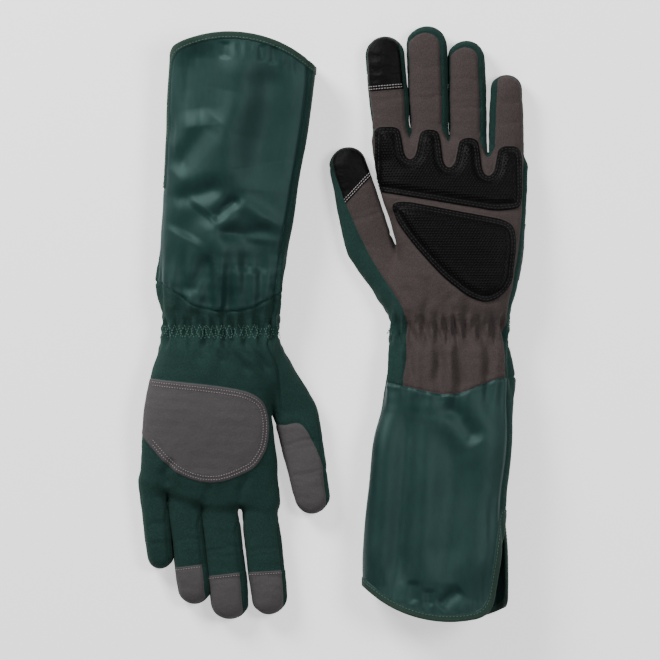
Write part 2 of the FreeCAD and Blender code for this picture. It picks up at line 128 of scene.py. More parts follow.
def ripple(p, size, seed, count=7):
    """Smooth noise of about the given wavelength, from -1 to 1."""
    rng = np.random.default_rng(seed)
    out = np.zeros(len(p))
    for _ in range(count):
        d = unit(rng.normal(size=3)) * rng.uniform(0.7, 1.5)
        out += np.sin(2 * np.pi * (p @ d) / size + rng.uniform(0, 2 * np.pi))
    return out / count**0.5 / 1.5


def from_segment(q, start, end):
    """Distance to a segment, and the share of its length gone by at the nearest point."""
    d = end - start
    t = np.clip(((q - start) @ d) / (d @ d), 0, 1)
    return np.hypot(*(q - start - t[:, None] * d).T), t


def outline_distance(p, points):
    """Signed distance in plan to a closed outline, positive inside."""
    q = p[:, :2]
    a = np.asarray(points, float)
    b = np.roll(a, -1, 0)
    best = np.full(len(q), 1e9)
    inside = np.zeros(len(q), bool)
    for s, e in zip(a, b):
        best = np.minimum(best, from_segment(q, s, e)[0])
        crosses = (s[1] > q[:, 1]) != (e[1] > q[:, 1])
        with np.errstate(divide="ignore", invalid="ignore"):
            at = s[0] + (q[:, 1] - s[1]) / (e[1] - s[1]) * (e[0] - s[0])
        inside ^= crosses & (q[:, 0] < at)
    return np.where(inside, best, -best)


def round_outline(points, most=1e9, rounds=2):
    """Corner cutting, for soft corners; no cut is longer than the one given."""
    p = np.asarray(points, float)
    for i in range(rounds):
        step = np.roll(p, -1, 0) - p
        cut = step * np.minimum(0.25, most / 2 ** i / np.hypot(*step.T))[:, None]
        p = np.stack([p + cut, p + step - cut], 1).reshape(-1, 2)
    return p


# ---- meshes
class Mesh:
    """Triangles with any number of values per point."""

    def __init__(self, tris, **values):
        self.t, self.v = tris, values

    def __getattr__(self, name):
        if name in ("t", "v"):
            raise AttributeError(name)
        return self.v[name]

    def take(self, faces):
        used, t = np.unique(self.t[faces], return_inverse=True)
        return Mesh(t.reshape(-1, 3), **{k: a[used] for k, a in self.v.items()})


def crossing(mesh, f):
    """Which triangles the line f = 0 crosses, their corners from the lone one on, the start and end
    of each crossed edge, the share of it at which the line passes, and each triangle's two edges."""
    f = np.where(np.abs(f) < 1e-7, 1e-7, f)
    side = f[mesh.t] > 0
    above = side.sum(1)
    crossed = (above == 1) | (above == 2)
    c, s = mesh.t[crossed], side[crossed]
    if not len(c):
        return None
    lone = np.where(s.sum(1) == 1, s.argmax(1), (~s).argmax(1))
    k = np.arange(len(c))
    a, b, d = (c[k, (lone + i) % 3] for i in range(3))
    edges = np.sort(np.concatenate([np.stack([a, b], 1), np.stack([a, d], 1)]), 1)
    unique, back = np.unique(edges, axis=0, return_inverse=True)
    start, end = unique.T
    return crossed, (a, b, d), (start, end), f[start] / (f[start] - f[end]), back.reshape(2, -1)


def score(mesh, f):
    """Cuts every triangle that the line f = 0 crosses, so the line runs along edges."""
    found = crossing(mesh, f)
    if found is None:
        return mesh
    crossed, (a, b, d), (start, end), w, back = found
    w = np.clip(w, 0.02, 0.98)
    values = {}
    for name, array in mesh.v.items():
        share = w if array.ndim == 1 else w[:, None]
        values[name] = np.concatenate([array, array[start] + (array[end] - array[start]) * share])
    ab, ad = back + len(f)
    new = np.concatenate([np.stack([a, ab, ad], 1), np.stack([ab, b, d], 1), np.stack([ab, d, ad], 1)])
    return Mesh(np.concatenate([mesh.t[~crossed], new]), **values)


def score_lines(mesh, fields, levels=(-0.9, 0.9)):
    """Scores level lines of each field, so the relief beside a seam has edges to follow."""
    for field in fields:
        for level in levels:
            mesh = score(mesh, field(mesh.p0) - level)
    return mesh


def split(mesh, field):
    """The part where the field is positive and the part where it is negative, cut at its zero."""
    f = field(mesh.p0)
    work = score(Mesh(mesh.t, **mesh.v, f=f), f)
    f = work.v.pop("f")[work.t]
    first = f[np.arange(len(f)), np.abs(f).argmax(1)] > 0
    return work.take(first), work.take(~first)


def edges_of(t):
    return np.concatenate([t[:, [0, 1]], t[:, [1, 2]], t[:, [2, 0]]])


def finer(mesh):
    """Each triangle into four."""
    t = mesh.t
    edges = np.sort(edges_of(t), 1)
    unique, back = np.unique(edges, axis=0, return_inverse=True)
    back = back.reshape(3, -1) + len(next(iter(mesh.v.values())))
    values = {k: np.concatenate([a, (a[unique[:, 0]] + a[unique[:, 1]]) / 2]) for k, a in mesh.v.items()}
    a, b, c = t.T
    ab, bc, ca = back
    new = np.concatenate([np.stack(q, 1) for q in ((a, ab, ca), (ab, b, bc), (ca, bc, c), (ab, bc, ca))])
    return Mesh(new, **values)


def normals(points, tris):
    a, b, c = (points[tris[:, i]] for i in range(3))
    n = np.cross(b - a, c - a)
    out = np.zeros_like(points)
    for i in range(3):
        np.add.at(out, tris[:, i], n)
    return unit(out)


def surface_net(field, low, high):
    """A mesh of field = 0 inside the box, on a lattice that all meshes share."""
    low = np.floor(np.asarray(low, float) / STEP) * STEP
    counts = (np.ceil((np.asarray(high, float) - low) / STEP)).astype(int) + 1
    axes = [low[i] + STEP * np.arange(counts[i]) for i in range(3)]
    grid = np.stack(np.meshgrid(*axes, indexing="ij"), -1).reshape(-1, 3)
    f = field(grid).reshape(counts)
    f = np.where(np.abs(f) < 1e-6, 1e-6, f)
    inside = f < 0
    a, b, c = counts - 1
    total = sum(inside[i:a + i, j:b + j, k:c + k].astype(np.int8)
                for i in (0, 1) for j in (0, 1) for k in (0, 1))
    active = (total > 0) & (total < 8)
    cells = np.argwhere(active)
    index = np.full(active.shape, -1)
    index[active] = np.arange(len(cells))
    where, weight = np.zeros((len(cells), 3)), np.zeros(len(cells))
    for axis in range(3):
        for i in (0, 1):
            for j in (0, 1):
                a = cells.copy()
                a[:, (axis + 1) % 3] += i
                a[:, (axis + 2) % 3] += j
                b = a.copy()
                b[:, axis] += 1
                fa, fb = f[tuple(a.T)], f[tuple(b.T)]
                cross = (fa < 0) != (fb < 0)
                point = a.astype(float)
                point[cross, axis] += fa[cross] / (fa - fb)[cross]
                where[cross] += point[cross]
                weight[cross] += 1
    points = where / weight[:, None] * STEP + low
    quads = []
    for axis in range(3):
        u, v = (axis + 1) % 3, (axis + 2) % 3
        first, second = (inside.take(np.arange(counts[axis] - 1) + i, axis) for i in (0, 1))
        edge = np.argwhere(first != second)
        edge = edge[(edge[:, u] > 0) & (edge[:, v] > 0)
                    & (edge[:, u] < counts[u] - 1) & (edge[:, v] < counts[v] - 1)]
        out = first[tuple(edge.T)]
        ring = []
        for du, dv in ((-1, -1), (0, -1), (0, 0), (-1, 0)):
            cell = edge.copy()
            cell[:, u] += du
            cell[:, v] += dv
            ring.append(index[tuple(cell.T)])
        q = np.stack(ring, 1)
        q[~out] = q[~out][:, ::-1]
        quads.append(q)
    q = np.concatenate(quads)
    short = (np.linalg.norm(points[q[:, 0]] - points[q[:, 2]], axis=1)
             <= np.linalg.norm(points[q[:, 1]] - points[q[:, 3]], axis=1))
    tris = np.concatenate([q[short][:, [0, 1, 2]], q[short][:, [0, 2, 3]],
                           q[~short][:, [0, 1, 3]], q[~short][:, [1, 2, 3]]])
    return points, tris


def skin(field, low, high):
    """The surface of a field, moved exactly onto it, as rest points p0 with normals n0."""
    points, tris = surface_net(field, low, high)
    h = 0.05
    rise = lambda p: np.stack([field(p + h * e) - field(p - h * e) for e in np.eye(3)], 1)
    for _ in range(3):
        value, slope = field(points), rise(points) / (2 * h)
        move = (value / np.maximum((slope**2).sum(1), 0.2))[:, None] * slope
        length = np.linalg.norm(move, axis=1, keepdims=True)
        points = points - move * np.minimum(1, 0.6 * STEP / np.maximum(length, 1e-9))
    return Mesh(tris, p0=points, n0=unit(rise(points)))


def thicken(mesh, thick, bulge=0.0, arcs=4):
    """A closed shell: the surface, its inner side, and a rim along every open edge."""
    p, n, t = mesh.p, mesh.n, mesh.t
    edges = edges_of(t)
    key = np.sort(edges, 1)
    _, first, count = np.unique(key, axis=0, return_index=True, return_counts=True)
    rim = edges[first[count == 1]]
    used, r = np.unique(rim, return_inverse=True)
    r = r.reshape(-1, 2)
    out = np.zeros((len(used), 3))
    along = p[rim[:, 1]] - p[rim[:, 0]]
    away = np.cross(along, n[rim[:, 0]])
    for i in (0, 1):
        np.add.at(out, r[:, i], away)
    out = unit(out)
    points, norms = [p, p - n * thick], [n, -n]
    tris = [t, t[:, ::-1] + len(p)]
    base = 2 * len(p)
    for j in range(arcs + 1):
        a = math.pi * (0.5 - j / arcs)
        m = n[used]
        points.append(p[used] - m * thick / 2 + (m * math.sin(a) + out * math.cos(a) * bulge) * thick / 2)
        norms.append(unit(m * math.sin(a) * bulge + out * (math.cos(a) + 0.15)))
    for j in range(arcs):
        a, b = (r[:, i] + base + j * len(used) for i in (0, 1))
        c, d = b + len(used), a + len(used)
        tris += [np.stack([b, a, d], 1), np.stack([b, d, c], 1)]
    source = np.concatenate([np.arange(len(p))] * 2 + [used] * (arcs + 1))
    values = {k: v[source] for k, v in mesh.v.items()}
    values["p"], values["n"] = np.concatenate(points), np.concatenate(norms)
    return Mesh(np.concatenate(tris), **values)


def trace(mesh, f):
    """The runs of the line f = 0 over the mesh, each with its points, normals and rest points."""
    found = crossing(mesh, f)
    if found is None:
        return []
    _, _, (start, end), w, back = found
    w = w[:, None]
    at = {key: mesh.v[key][start] * (1 - w) + mesh.v[key][end] * w for key in ("p", "n", "p0")}
    links = [[] for _ in start]
    for i, j in back.T.tolist():
        links[i].append(j)
        links[j].append(i)
    seen = [False] * len(links)
    found = []
    for start in [i for i, l in enumerate(links) if len(l) == 1] + list(range(len(links))):
        if seen[start]:
            continue
        walk, now = [], start
        while now is not None:
            seen[now] = True
            walk.append(now)
            now = next((j for j in links[now] if not seen[j]), None)
        if len(walk) > 3:
            if walk[0] in links[walk[-1]]:
                walk.append(walk[0])
            found.append({key: v[walk] for key, v in at.items()})
    return found


def distance_along(p):
    return np.concatenate([[0], np.cumsum(np.linalg.norm(np.diff(p, axis=0), axis=1))])


def sample(v, far, at):
    """Values known at the distances far, at other distances."""
    return np.stack([np.interp(at, far, column) for column in v.T], 1)


# pitch, length, radius and lift off the cloth of each kind of stitch
STITCHES = {"pad": (2.7, 1.9, 0.28, 0.12), "patch": (1.9, 1.0, 0.34, 0.26), "cuff": (2.5, 1.7, 0.25, 0.12),
            "zigzag": (2.0, 1.3, 0.34, 0.35), "touch": (2.0, 1.5, 0.3, 0.25), "cap": (1.9, 1.1, 0.28, 0.25)}
# the rings of a stitch: share of its half length, and share of its radius
RINGS = ((-1.0, 0.02), (-0.88, 0.62), (-0.45, 1.0), (0.45, 1.0), (0.88, 0.62), (1.0, 0.02))
SIDES = 6


def stitch_row(lines, kind, keep=None):
    """Short rounded stitches along traced lines, where keep is positive."""
    pitch, length, radius, lift = STITCHES[kind]
    rng = np.random.default_rng(5)
    turns = np.arange(SIDES) * 2 * math.pi / SIDES
    spots = [(x, k, math.cos(a), math.sin(a)) for x, k in RINGS for a in turns]
    shape = np.array([(x * length / 2, k * radius * c, k * radius * s) for x, k, c, s in spots])
    swell = np.array([(np.sign(x) * (1 - k), k * c, k * s) for x, k, c, s in spots])
    a = np.arange(len(spots) - SIDES)
    b = a // SIDES * SIDES + (a + 1) % SIDES
    tri = np.stack([a, b, b + SIDES, a, b + SIDES, a + SIDES], 1).reshape(-1, 3)
    points, norms, rests = [], [], []
    for line in lines:
        p = line["p"]
        if len(p) > 6:
            soft = p.copy()
            soft[1:-1] = (p[:-2] + 2 * p[1:-1] + p[2:]) / 4
            p = soft
        far = distance_along(p)
        if far[-1] < pitch:
            continue
        at = np.arange(pitch * 0.5, far[-1] - length * 0.5, pitch)
        c, m, r = (sample(v, far, at) for v in (p, line["n"], line["p0"]))
        m = unit(m)
        d = unit(sample(p, far, at + 0.6) - sample(p, far, at - 0.6))
        if keep is not None:
            k = keep(r) > 0
            c, m, r, d = c[k], m[k], r[k], d[k]
        if not len(c):
            continue
        b = unit(np.cross(m, d))
        d = unit(d + b * rng.normal(0, 0.05, (len(c), 1)))
        m = np.cross(d, b)
        basis = np.stack([d, b, m], 1)
        points.append((c + m * lift)[:, None] + np.einsum("kj,cji->cki", shape, basis))
        norms.append(unit(np.einsum("kj,cji->cki", swell, basis)))
        rests.append(np.repeat(r[:, None], len(shape), 1))
    if not points:
        return None
    points, norms, rests = (np.concatenate(v) for v in (points, norms, rests))
    t = tri[None] + (np.arange(len(points)) * len(shape))[:, None, None]
    return Mesh(t.reshape(-1, 3), p=points.reshape(-1, 3), n=norms.reshape(-1, 3), p0=rests.reshape(-1, 3))


def stitches(mesh, field, levels, kind, keep=None):
    """A row of stitches along each of these level lines of a field."""
    return [stitch_row(trace(mesh, field(mesh.p0) - level), kind, keep) for level in levels]


def zigzag(lines, shift, period=9.4, reach=5.6):
    """The traced lines swung from side to side over the surface."""
    out = []
    for line in lines:
        far = distance_along(line["p"])
        at = np.arange(0, far[-1], 0.5)
        p, n, rest = (sample(line[key], far, at) for key in ("p", "n", "p0"))
        n = unit(n)
        across = np.cross(n, unit(np.gradient(p, axis=0)))
        swing = (2 * np.abs(((at / period + shift) % 1) * 2 - 1) - 1) * reach
        out.append({"p": p + across * swing[:, None], "n": n, "p0": rest})
    return out


def joined(meshes):
    """One mesh of those that aren't empty."""
    meshes = [m for m in meshes if m is not None and len(m.t)]
    if not meshes:
        return None
    starts = np.cumsum([0] + [len(m.p) for m in meshes[:-1]])
    return Mesh(np.concatenate([m.t + s for m, s in zip(meshes, starts)]),
                **{k: np.concatenate([m.v[k] for m in meshes]) for k in ("p", "n", "p0")})


# ---- the shape of a glove
def only(near, p, field):
    """The field where near is true, and a large value elsewhere."""
    out = np.full(len(p), 1e3)
    out[near] = field(p[near])
    return out


class Glove:
    """The smooth surface of one glove, as fields that are negative inside it."""

    def __init__(self, side):
        self.side, self.g = side, GLOVES[side]
        self.up, self.digits = self.g["up"], self.g["digits"]

    def turn(self, v):
        """A glove that lies on its palm is half a turn round from one that lies on its back."""
        return v * (self.up, self.up, 1.0)

    def place(self, p):
        return self.turn(p) + (*self.g["place"], 0)

    def section(self, y):
        inner, outer, tall = (smooth_curve(y, self.g["y"], self.g[k]) for k in ("inner", "outer", "tall"))
        return -inner, outer, tall

    def past_palm(self, p):
        """Distance beyond the end of the palm, where only the digits go on."""
        return p[:, 1] - smooth_curve(p[:, 0], *zip(*self.g["ends"]))

    def body(self, p):
        x, y, z = p.T
        left, right, tall = self.section(y)
        a, b = (right - left) / 2, tall / 2
        u, v = np.abs(x - (left + right) / 2) / a, (z - b) / b
        return smax(superellipse(u, v, a, b, 2.5, 3.8), self.past_palm(p), 7.0)

    def frame(self, name, p):
        """(across, along, up) of a digit, from the middle of its root."""
        x, y, lean = self.digits[name][:3]
        c, s = math.cos(math.radians(lean)), math.sin(math.radians(lean))
        dx, dy = p[:, 0] - x, p[:, 1] - y
        return dx * c + dy * s, -dx * s + dy * c, p[:, 2]

    def radius(self, name, s):
        """Half width of a digit, and how far s is past the centre of its round end."""
        wide, tip, long = self.digits[name][3:]
        centre = long - tip / 2
        t = np.clip(s / centre, 0, 1)
        far = np.maximum(s - centre, 0)
        r = wide / 2 + (tip / 2 - wide / 2) * t + 0.5 * np.sin(np.pi * t)
        return np.where(far > 0, tip / 2, r), far

    def digit(self, name, p):
        tip, long = self.digits[name][4:]
        u, s, z = self.frame(name, p)
        thumb = name == "thumb"
        back = np.log1p(np.exp(np.clip(-s / 3.0, -30, 30))) * 3.0
        if thumb:
            u = u - 0.38 * back
        r, far = self.radius(name, s)
        b = KNUCKLE_Z - 0.9 * step01(s, long - tip / 2 - 12, long) + (0.08 if thumb else 0.02) * back
        f = superellipse(np.hypot(u, far) / r, (z - b) / b, r, b, 2.3, 2.9)
        return smax(f, -(s + (50 if thumb else 22)), 8.0)

    def hand(self, p):
        body = self.body(p)
        out = np.full(len(p), 1e9)
        for name in FINGERS:
            part = only(p[:, 1] > 60, p, lambda q: self.digit(name, q))
            out = np.minimum(out, smin(body, part, 5.0))
        near = (p[:, 0] < 20) & (p[:, 1] > -15) & (p[:, 1] < 110)
        s = only(near, p, lambda q: self.frame("thumb", q)[1])
        part = smax(only(near, p, lambda q: self.digit("thumb", q)), s - 2.0, 0.01)
        return np.minimum(out, smin(body, part, 11.0 * step01(-s, -1.0, 24.0)))

    def finger(self, name, p):
        if name == "thumb":
            return self.digit(name, p)
        return smin(self.body(p), self.digit(name, p), 5.0)

    def thumb_side(self, p):
        """Negative on the open end of the thumb root, which the thumb piece covers."""
        s = self.frame("thumb", p)[1]
        root = smax(self.digit("thumb", p), s - 2.0, 0.01)
        return np.maximum(-s, root - self.body(p) - 0.01)

    def height_of_digit(self, p):
        return (p[:, 2] - KNUCKLE_Z) * self.up

    def height(self, p):
        """Above or below the widest line of the glove, positive towards the palm side."""
        left, _, tall = self.section(p[:, 1])
        beside = step01(left - p[:, 0], -8, 2) * step01(p[:, 1], 5, 30)
        return (p[:, 2] - tall / 2 - (KNUCKLE_Z - tall / 2) * beside) * self.up


def superellipse(u, v, a, b, above, below):
    """Signed distance to a rounded box, near enough; the powers shape its upper and lower half."""
    n = np.where(v < 0, below, above)
    w = np.abs(v)
    g = np.maximum((u**n + w**n) ** (1 / n), 0.15)
    slope = np.hypot((u / g) ** (n - 1) / a, (w / g) ** (n - 1) / b)
    return (g - 1) / np.maximum(slope, 1e-3)


# ---- seams, pads, patches and folds
# Outlines in plan, and folds: width, depth (less than 0 for a ridge) and the line of each.
DETAILS = {
    "left": {
        "palm": ((-33.5, -80), (-33.5, -36), (-30.6, -21.6), (-30.6, 10.8), (-37, 24), (-47, 39), (-57, 55),
                 (-65, 71), (-70.5, 82), (-74.5, 93.6), (-90, 130), (-90, 175), (70, 175), (54.6, 130),
                 (54, 100), (52.6, 80), (49.7, 50), (44.5, 23), (40.3, 0), (40.5, -22), (41, -80)),
        "heel": ((-42, 92), (-32.8, 94.3), (44.3, 79.9), (49.3, 69), (45.7, 32.4), (30.6, 20.2), (15.5, 23.8),
                 (-4.7, 39.6), (-24.8, 61.9), (-37.8, 79.9)),
        "patch": ((54, 35), (49.7, 37.4), (-13, 43.9), (-29, 51), (-34.6, 62), (-34.6, 84.2), (-28, 96),
                  (-21.6, 103.7), (4.3, 113.8), (31, 107.3), (49.7, 87.8), (60, 70)),
        "thumb_seam": ((-36, -10), (-34, 12), (-42, 30), (-48, 74), (-48, 105)),
        "folds": (
            (12.0, -2.4, (28, -52), (26, -100), (20, -150), (14, -192)),
            (8.0, -1.2, (-13, -60), (-15, -120), (-17, -190)),
            (6.5, -1.6, (-44, -58), (-50, -120), (-53, -182)),
            (5.0, 2.8, (-28.5, -44), (-31, -80), (-34, -120), (-40, -192)),
            (9.0, 2.4, (1, -62), (4, -100), (0, -150), (-5, -180)),
            (3.8, 2.0, (-4, -51), (8, -61), (21, -80)),
            (2.6, 1.4, (9, -184), (1, -190), (-7, -198)), (2.2, 1.0, (-25.6, -178), (-25.6, -195)),
            (2.2, 0.8, (-14, -184), (-15, -197)), (3.2, 1.6, (-42, 88), (-43.5, 68), (-42, 48)),
            (3.2, 1.2, (-26, -6), (-29, -20), (-25, -36)), (3.4, 1.4, (-12, -4), (-7, -20), (-12, -40)),
            (3.2, 1.3, (8, -6), (4, -18), (12, -40)), (3.0, 1.2, (27, -4), (31, -18), (26, -34)),
            (3.4, 0.9, (-20, 12), (-13, 24), (-16, 40)), (3.2, 0.8, (4, 12), (0, 22), (6, 30)),
            (3.4, 0.9, (-34, 34), (-26, 24), (-22, 12)))},
    "right": {
        "palm": ((-33, -80), (-33, -39), (-31, -20), (-31, 8), (-37, 22), (-46, 37), (-55, 53), (-62, 68),
                 (-67, 80), (-71, 92), (-88, 130), (-88, 175), (70, 175), (55.2, 130), (55.5, 100), (54, 80),
                 (50.7, 50), (44.5, 23), (39.3, 0), (40.5, -22), (41, -80)),
        "heel": ((-37, 82), (-28, 85), (45, 72), (50, 61), (46, 27), (32, 13), (17, 16), (-2, 31), (-20, 53),
                 (-33, 71)),
        "patch": ((60, 35), (49.7, 37.4), (-13, 43.9), (-29, 51), (-34.6, 61), (-34.6, 84.2), (-28, 97),
                  (-21.6, 103.7), (4.3, 113.8), (31, 107.3), (49.7, 87.8), (62, 70)),
        "thumb_seam": ((-38, -12), (-33.8, 12), (-41, 30), (-44.6, 74), (-42.5, 108)),
        "folds": (
            (10.0, -3.0, (-17, -207), (-17, -167), (-5, -140), (-3, -113), (-11, -90)),
            (6.0, -2.0, (-11, -94), (4, -69), (0, -56), (-5, -39), (-7, -22)),
            (5.5, -0.9, (-58, -184), (-51, -110), (-44, -50)),
            (8.0, 3.0, (17, -206), (17, -170), (14, -144)), (8.5, 2.2, (-34, -192), (-31, -140), (-27, -98)),
            (8.0, 1.5, (13, -86), (20, -77), (27, -64)), (7.0, 1.6, (-25, -64), (-22, -38)),
            (4.6, 1.7, (4, -150), (19, -131), (35, -111)), (2.6, 2.0, (-13, -93), (-4, -85), (6, -76)),
            (3.2, -1.2, (-12, -92), (-28, -80), (-44, -68)), (3.0, 1.6, (4, -68), (-18, -66), (-42, -71)),
            (3.4, 1.6, (-2, -102), (15, -96), (35, -92)), (3.0, 1.5, (8, -52), (16, -36), (24, -22)),
            (4.0, 1.2, (26.9, -200), (31, -165), (35.5, -130)), (2.0, 0.9, (-3, -192), (-3, -205)),
            (2.0, 0.8, (-30, -190), (-30, -203)), (2.0, 0.8, (-38, -188), (-39, -202)),
            (3.0, 1.7, (13, 4), (6, 17), (-4, 28)), (3.0, 2.0, (2, 3), (-8, 19), (-22, 35)),
            (3.0, 1.9, (-13, 3), (-23, 18), (-37, 34)), (3.0, 1.3, (28, 2), (21, 15), (13, 27)),
            (3.0, 0.9, (-20, 106), (-14, 118), (-14, 128)), (3.4, 1.5, (34, 94), (40, 106), (38, 116)),
            (3.0, 0.7, (8, 112), (10, 120), (12, 128)))},
}
# where the nylon begins over the palm and over the back
PALM_END = ((-60, -33), (-33.5, -38.5), (2.5, -44.5), (38.5, -33), (60, -31))
BACK_END = ((-70, -34), (-38.9, -22.3), (-22, -13.5), (-4.3, -10.8), (18, -15), (43.9, -31.7), (60, -36))
# how far the side strip of each finger reaches over its palm side: thumb edge, little edge, tip
STRIP = {"index": (0.2, 2.6, 0.2), "middle": (0.5, 5.0, 5.2), "ring": (0.9, 4.8, 4.8),
         "little": (4.2, 0.5, 0.8), "thumb": (1.0, 0.2, 0.4)}
# the same over the back
STRIP_BACK = {"index": (2.2, 0.4, 0.5), "middle": (4.4, 0.4, 0.6), "ring": (4.4, 0.4, 0.6),
              "little": (3.4, 0.4, 0.6), "thumb": (2.2, 0.4, 0.6)}
# the lines across the digits where the touch tips and the caps begin: distance along, and slope
TOUCH = {"index": (25.7, 0.0), "thumb": (41.2, 0.65)}
CAP = {"index": (37.5, -0.05), "middle": (40.0, 0.0), "ring": (39.0, 0.0)}
DOT = 2.15  # pitch of the raised dots
DOT_RADIUS = 0.80


def line_distance(p, points):
    """Distance in plan to an open line, and the share of its length gone by."""
    q = p[:, :2]
    a = np.asarray(points, float)
    parts = np.linalg.norm(np.diff(a, axis=0), axis=1)
    far = np.concatenate([[0], np.cumsum(parts)]) / parts.sum()
    best, at = np.full(len(q), 1e9), np.zeros(len(q))
    for i in range(len(a) - 1):
        gap, t = from_segment(q, a[i], a[i + 1])
        at = np.where(gap < best, far[i] + t * (far[i + 1] - far[i]), at)
        best = np.minimum(best, gap)
    return best, at


def dots(x, y):
    """Height and slope of the raised dots, from 0 to 1."""
    row = np.round(y / (DOT * 0.866))
    shift = np.where(row % 2 == 0, 0.0, DOT / 2)
    dx = x - shift - np.round((x - shift) / DOT) * DOT
    dy = y - row * DOT * 0.866
    r2 = (dx**2 + dy**2) / DOT_RADIUS**2
    h = np.clip(1 - r2, 0, 1)
    return h**1.5, -3 * h**0.5 * dx / 0.64, -3 * h**0.5 * dy / 0.64


def seam(d, deep, puff):
    """Relief at the distance d from a seam: a groove between two puffed edges."""
    d = np.abs(d)
    return -deep * bell(d, 0.8) + puff * bell(d - 2.4, 1.4)


class Pattern(Glove):
    """The panels of one glove, as fields that are positive on a panel, and the relief of its cloth."""

    def __init__(self, side):
        super().__init__(side)
        self.d = DETAILS[side]
        self.palm_line = round_outline(self.d["palm"])
        self.heel_line = round_outline(self.d["heel"], 5.0)
        self.patch_line = round_outline(self.d["patch"])
        self.knuckle_line = round_outline(self.knuckle_points(), 3.0)

    def knuckle_points(self):
        """Outline of the knuckle pad: a bump below each finger and a valley below each gap."""
        digits = [self.digits[f][:4] for f in FINGERS]
        edges = [(one[0] + one[3] / 2 + two[0] - two[3] / 2) / 2 for one, two in zip(digits, digits[1:])]
        first = digits[0][0] - digits[0][3] / 2 + 1.2
        last = digits[3][0] + digits[3][3] / 2 - 1.4
        low_in, low_out = digits[0][1] - 47.2, digits[3][1] - 45.4
        points = [(first, low_in)]
        for i, (_, root, _, _) in enumerate(digits):
            left = first if i == 0 else edges[i - 1] + 6.0
            right = last if i == 3 else edges[i] - 6.0
            top = root - 0.9
            points += [(left, top - 9), (left + (0.5 if i == 0 else 2.0), top), (right - 2.0, top),
                       (right, top - 9)]
            if i < 3:
                low = min(root, digits[i + 1][1]) - 23.0
                points += [(edges[i] - 4.2, low + 3.5), (edges[i], low), (edges[i] + 4.2, low + 3.5)]
        return points + [(last, low_out + 8), (last - 1.5, low_out - 0.4), (last - 19, low_out - 2.4)]

    def palm(self, p):
        out = np.minimum(outline_distance(p, self.palm_line), self.height(p) + 1.0)
        past = self.past_palm(p)
        across = np.stack([np.abs(self.frame(f, p)[0]) for f in FINGERS], 1).argmin(1)
        for i, finger in enumerate(FINGERS):
            near = (across == i) & (past > -5)
            edge = self.digit_panel(finger, p[near], STRIP) + 12 * step01(-past[near], -1, 4)
            out[near] = np.minimum(out[near], edge)
        return out

    def heel(self, p):
        return np.minimum(outline_distance(p, self.heel_line), self.height(p))

    def knuckle(self, p):
        return np.minimum(outline_distance(p, self.knuckle_line), self.height(p))

    def patch(self, p):
        return np.minimum(outline_distance(p, self.patch_line), -self.height(p) - 1.5)

    def thumb_seam(self, p):
        """Positive on the thumb's side of the seam on the back."""
        q = np.array(self.d["thumb_seam"])
        return np.interp(p[:, 1], q[:, 1], q[:, 0]) - p[:, 0]

    def nylon(self, p):
        """Positive over the gauntlet, negative over the hand's own panels."""
        x, y = p[:, 0], p[:, 1]
        side = step01(self.height(p), -6, 6)
        palm, back = (smooth_curve(x, *zip(*line)) for line in (PALM_END, BACK_END))
        return back + (palm - back) * side - y

    def keep(self, p):
        """Distance inside the hem and the slit."""
        x, y = p[:, 0], p[:, 1]
        hem, hem_x = self.g["hem"]
        inside = 90 - np.hypot(x - hem_x, np.minimum(y - hem - 90, 0))
        top, low, high = self.g["slit"]
        line = high + (y - top) * (high - low) / (top - hem - 8)
        gone = np.minimum(np.minimum(x - line, top - y), self.height(p) + 1.5)
        return smin(inside, -gone, 11.0)

    def strip_out(self, p):
        """Positive over the narrow strip at the thumb edge of the back of the gauntlet."""
        left, _, _ = self.section(p[:, 1])
        return np.minimum(left + 5.0 - p[:, 0], -self.height(p) + 1.0)

    def strip_in(self, p):
        _, right, _ = self.section(p[:, 1])
        return np.minimum(p[:, 0] - right + 4.2, self.height(p) + 1.0)

    def short_of_fingers(self, p):
        nearest = np.stack([self.digit(f, p) for f in FINGERS], 1).argmin(1)
        along = np.stack([self.frame(f, p)[1] for f in FINGERS], 1)
        return -along[np.arange(len(p)), nearest]

    def margin(self, name, p):
        """(across, along) of a digit, distance inside its edge in plan, and share of the round end."""
        u, s, _ = self.frame(name, p)
        r, far = self.radius(name, s)
        return u, s, r - np.hypot(u, far), far / (self.digits[name][4] / 2)

    def digit_panel(self, name, p, strips):
        u, s, inside, round_end = self.margin(name, p)
        thumb_edge, little_edge, tip = strips[name]
        grown = step01(self.past_palm(p), -1, 10) if strips is STRIP and name != "thumb" else step01(s, 0, 13)
        edge = np.where(u < 0, thumb_edge, little_edge) * (0.06 + 0.94 * grown)
        if name == "thumb" and strips is STRIP:
            edge = np.where(u < 0, np.interp(s, (0, 13, 37, 58, 75), (14.8, 11.5, 6.3, 2.6, 1.0)), edge)
        edge = edge + (tip - edge) * step01(round_end, 0.1, 0.85)
        return inside - edge

    def front(self, name, p):
        return np.minimum(self.digit_panel(name, p, STRIP), self.height_of_digit(p))

    def back(self, name, p):
        return np.minimum(self.digit_panel(name, p, STRIP_BACK), -self.height_of_digit(p))

    def tip_line(self, name, p, lines):
        """Positive beyond a line across the digit."""
        u, s, _ = self.frame(name, p)
        start, slope = lines[name]
        return s - start - slope * u

    def thumb_back(self, p):
        """Positive over the suede of the back of the thumb."""
        x, y = p[:, 0], p[:, 1]
        edge = smooth_curve(-x, (30, 44.6, 59.8, 67, 74.2, 85), (69, 70.6, 72, 84, 100, 118))
        return (y - edge) * 0.75

    def base(self, p):
        """Slack of the cloth that all panels share."""
        up = 0.3 + 0.7 * step01(p[:, 2], 3, 12)
        slack = 0.30 * ripple(p * (1, 0.8, 1), 24, 3) + 0.16 * ripple(p, 11, 4)
        return slack * up * step01(p[:, 1], -75, -40)

